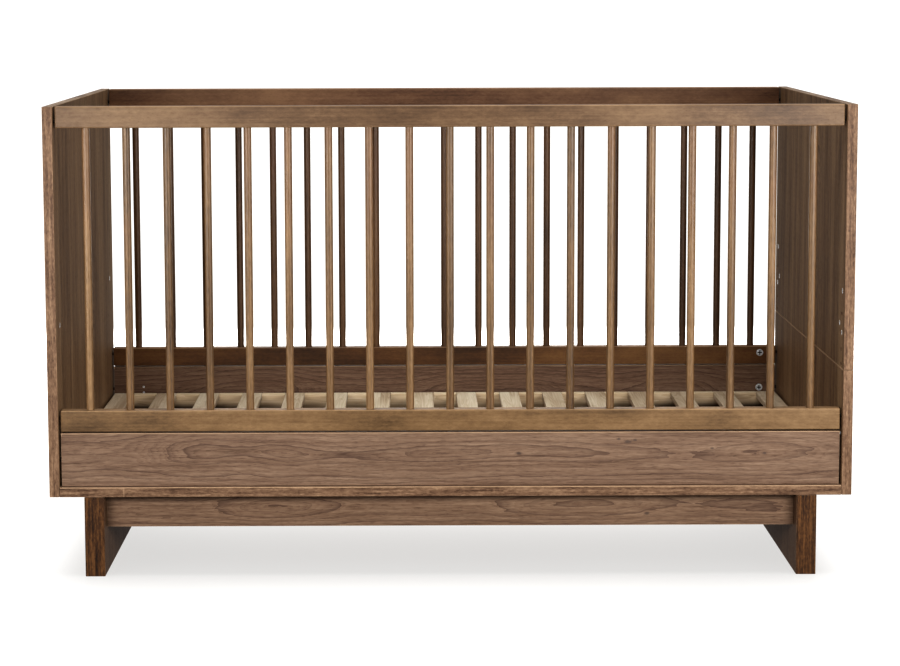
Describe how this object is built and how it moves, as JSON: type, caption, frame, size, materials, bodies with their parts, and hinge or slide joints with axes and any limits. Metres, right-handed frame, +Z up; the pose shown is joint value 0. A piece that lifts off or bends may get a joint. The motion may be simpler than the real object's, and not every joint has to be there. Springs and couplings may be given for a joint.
{
  "type": "baby crib",
  "caption": "Baby crib with flat board ends, round-barred sides, a slatted mattress base set at the height wanted, and a recessed stand of leg boards and stretchers.",
  "frame": {"origin": "floor level, at the middle of the crib's footprint", "axes": "+X along the crib towards the end panel that is in two parts, -Y towards the front, +Z up"},
  "size_m": [1.456, 0.77, 0.856],
  "materials": {
    "walnut_veneer_board": "matt walnut veneer on board, with edge banding",
    "walnut_leg_board": "matt dark walnut veneer on thick board",
    "stained_beech_top_rail": "satin stained beech",
    "stained_beech_bottom_rail": "satin stained beech, golden brown",
    "stained_beech_spindle": "satin stained beech dowel",
    "pale_birch": "planed pale birch, unstained",
    "zinc_cam": "bright zinc-plated die casting",
    "steel_pin": "plain steel"
  },
  "bodies": {
    "crib_frame": {"left_end_panel": "walnut_veneer_board", "right_end_panel_lower": "walnut_veneer_board", "right_end_panel_upper": "walnut_veneer_board", "bottom_board": "walnut_veneer_board", "front_lower_panel": "walnut_veneer_board", "rear_lower_panel": "walnut_veneer_board", "front_stretcher": "walnut_veneer_board", "rear_stretcher": "walnut_veneer_board", "left_leg": "walnut_leg_board", "right_leg": "walnut_leg_board", "front_top_rail": "stained_beech_top_rail", "rear_top_rail": "stained_beech_top_rail", "front_bottom_rail": "stained_beech_bottom_rail", "rear_bottom_rail": "stained_beech_bottom_rail", "front_spindle_01": "stained_beech_spindle", "front_spindle_02": "stained_beech_spindle", "front_spindle_03": "stained_beech_spindle", "front_spindle_04": "stained_beech_spindle", "front_spindle_05": "stained_beech_spindle", "front_spindle_06": "stained_beech_spindle", "front_spindle_07": "stained_beech_spindle", "front_spindle_08": "stained_beech_spindle", "front_spindle_09": "stained_beech_spindle", "front_spindle_10": "stained_beech_spindle", "front_spindle_11": "stained_beech_spindle", "front_spindle_12": "stained_beech_spindle", "front_spindle_13": "stained_beech_spindle", "front_spindle_14": "stained_beech_spindle", "front_spindle_15": "stained_beech_spindle", "front_spindle_16": "stained_beech_spindle", "front_spindle_17": "stained_beech_spindle", "front_spindle_18": "stained_beech_spindle", "front_spindle_19": "stained_beech_spindle", "rear_spindle_01": "stained_beech_spindle", "rear_spindle_02": "stained_beech_spindle", "rear_spindle_03": "stained_beech_spindle", "rear_spindle_04": "stained_beech_spindle", "rear_spindle_05": "stained_beech_spindle", "rear_spindle_06": "stained_beech_spindle", "rear_spindle_07": "stained_beech_spindle", "rear_spindle_08": "stained_beech_spindle", "rear_spindle_09": "stained_beech_spindle", "rear_spindle_10": "stained_beech_spindle", "rear_spindle_11": "stained_beech_spindle", "rear_spindle_12": "stained_beech_spindle", "rear_spindle_13": "stained_beech_spindle", "rear_spindle_14": "stained_beech_spindle", "rear_spindle_15": "stained_beech_spindle", "rear_spindle_16": "stained_beech_spindle", "rear_spindle_17": "stained_beech_spindle", "rear_spindle_18": "stained_beech_spindle", "rear_spindle_19": "stained_beech_spindle", "end_link_pin_front": "steel_pin", "end_link_pin_rear": "steel_pin"},
    "mattress_base": {"slatted_base": "pale_birch"},
    "rear_rail_cam_left": {"rear_rail_cam_left": "zinc_cam"},
    "rear_rail_cam_right": {"rear_rail_cam_right": "zinc_cam"},
    "rear_panel_cam_left": {"rear_panel_cam_left": "zinc_cam"},
    "rear_panel_cam_right": {"rear_panel_cam_right": "zinc_cam"}
  },
  "joints": [
    {"name": "base_height", "type": "slide", "parent": "crib_frame", "child": "mattress_base", "axis": [0, 0, 1], "range_m": [0, 0.27]},
    {"name": "rear_rail_cam_left_turn", "type": "hinge", "parent": "crib_frame", "child": "rear_rail_cam_left", "pos_m": [-0.673, 0.3573, 0.29], "axis": [0, -1, 0], "range_deg": [0, 180]},
    {"name": "rear_rail_cam_right_turn", "type": "hinge", "parent": "crib_frame", "child": "rear_rail_cam_right", "pos_m": [0.673, 0.3573, 0.29], "axis": [0, -1, 0], "range_deg": [0, 180]},
    {"name": "rear_panel_cam_left_turn", "type": "hinge", "parent": "crib_frame", "child": "rear_panel_cam_left", "pos_m": [-0.673, 0.3633, 0.214], "axis": [0, -1, 0], "range_deg": [0, 180]},
    {"name": "rear_panel_cam_right_turn", "type": "hinge", "parent": "crib_frame", "child": "rear_panel_cam_right", "pos_m": [0.673, 0.3633, 0.214], "axis": [0, -1, 0], "range_deg": [0, 180]}
  ]
}
